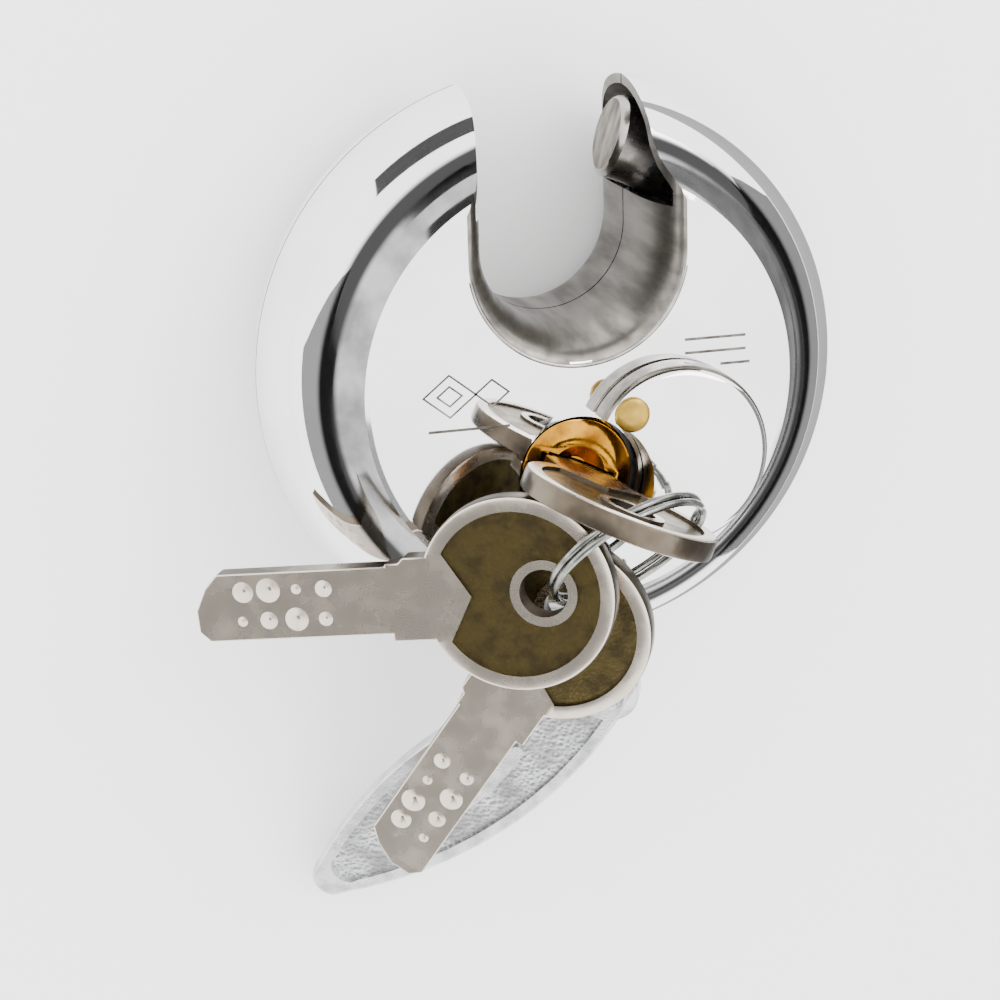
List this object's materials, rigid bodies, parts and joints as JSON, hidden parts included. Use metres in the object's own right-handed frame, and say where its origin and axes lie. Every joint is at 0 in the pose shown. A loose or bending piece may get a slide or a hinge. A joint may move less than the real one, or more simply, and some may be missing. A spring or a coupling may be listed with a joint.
{
  "type": "disc padlock",
  "caption": "Round stainless disc padlock, open, with a swivelling keyhole cover, key in the lock, loose dimple keys on a split ring and a cast tag on a link.",
  "frame": {"origin": "centre of the rear plate's outer face", "axes": "+Z out of the front plate along the keyway, +Y towards the open side of the throat, +X to the right seen from the front"},
  "size_m": [0.0795, 0.1025, 0.0546],
  "materials": {
    "case_steel": "mirror polished stainless steel",
    "shackle_steel": "ground hardened steel with a rough cut end",
    "zinc": "zinc plated",
    "hardened_steel": "dark hardened steel",
    "brass": "bright turned brass",
    "key_nickel": "worn nickel plate over brass, olive in the bow's recess",
    "spring_steel": "bright drawn wire",
    "tag_alloy": "cast, stippled recess and bright rim"
  },
  "bodies": {
    "case": {"carrier_pivot": "hardened_steel", "carrier_washer": "hardened_steel", "cover_rivet": "brass", "cover_washer": "hardened_steel", "cylinder_housing": "brass", "drill_guard": "hardened_steel", "driver_pin_1": "hardened_steel", "driver_pin_2": "hardened_steel", "driver_pin_3": "hardened_steel", "driver_pin_4": "hardened_steel", "driver_pin_5": "hardened_steel", "front_shell": "case_steel", "housing_post_1": "zinc", "housing_post_2": "zinc", "housing_screw_1": "hardened_steel", "housing_screw_2": "hardened_steel", "pin_spring_1": "spring_steel", "pin_spring_2": "spring_steel", "pin_spring_3": "spring_steel", "pin_spring_4": "spring_steel", "pin_spring_5": "spring_steel", "rear_shell": "case_steel", "shackle_guide": "zinc", "shackle_stop": "hardened_steel", "spring_cover": "zinc"},
    "shackle": {"shackle": "shackle_steel", "shackle_carrier": "hardened_steel", "shackle_dowel": "hardened_steel"},
    "plug": {"plug": "brass", "plug_clip": "spring_steel", "drive_gear": "brass", "key_pin_1": "brass", "key_pin_2": "brass", "key_pin_3": "brass", "key_pin_4": "brass", "key_pin_5": "brass"},
    "inserted_key": {"inserted_key": "key_nickel"},
    "keyhole_cover": {"keyhole_cover": "case_steel"},
    "key_ring": {"key_ring": "spring_steel"},
    "loose_key_a": {"loose_key_a": "key_nickel"},
    "loose_key_b": {"loose_key_b": "key_nickel"},
    "tag_link": {"tag_link": "spring_steel"},
    "key_tag": {"key_tag": "tag_alloy"}
  },
  "joints": [
    {"name": "shackle_turn", "type": "hinge", "parent": "case", "child": "shackle", "pos_m": [0, 0, 0.013], "axis": [0, 0, 1], "range_deg": [0, 58]},
    {"name": "plug_turn", "type": "hinge", "parent": "case", "child": "plug", "pos_m": [-0.0005, -0.0105, 0.027], "axis": [0, 0, 1], "range_deg": [-34.2, 0]},
    {"name": "key_withdraw", "type": "slide", "parent": "plug", "child": "inserted_key", "axis": [0, 0, 1], "range_m": [0, 0.025]},
    {"name": "cover_swing", "type": "hinge", "parent": "case", "child": "keyhole_cover", "pos_m": [0.0045, -0.0024, 0.028], "axis": [0, 0, 1], "range_deg": [-12, 40]},
    {"name": "ring_lift", "type": "slide", "parent": "case", "child": "key_ring", "axis": [0, 0, 1], "range_m": [0, 0.025]},
    {"name": "key_a_swing", "type": "hinge", "parent": "key_ring", "child": "loose_key_a", "pos_m": [-0.00792, -0.02005, 0.03915], "axis": [-0.4949, -0.0012, 0.8689], "range_deg": [-10, 20]},
    {"name": "key_b_swing", "type": "hinge", "parent": "key_ring", "child": "loose_key_b", "pos_m": [-0.00387, -0.02369, 0.03464], "axis": [-0.4698, -0.1157, 0.8752], "range_deg": [-12, 15]},
    {"name": "link_swing", "type": "hinge", "parent": "key_ring", "child": "tag_link", "pos_m": [0.00245, -0.02301, 0.03274], "axis": [-0.9389, 0.0468, -0.3411], "range_deg": [0, 10]},
    {"name": "tag_swing", "type": "hinge", "parent": "tag_link", "child": "key_tag", "pos_m": [0.00329, -0.03752, 0.02538], "axis": [-0.4359, -0.2038, 0.8766], "range_deg": [-20, 25]}
  ],
  "couplings": [
    {"joint": "plug_turn", "follows": "shackle_turn", "ratio": -0.58823},
    {"joint": "key_withdraw", "follows": "ring_lift", "ratio": 1}
  ]
}
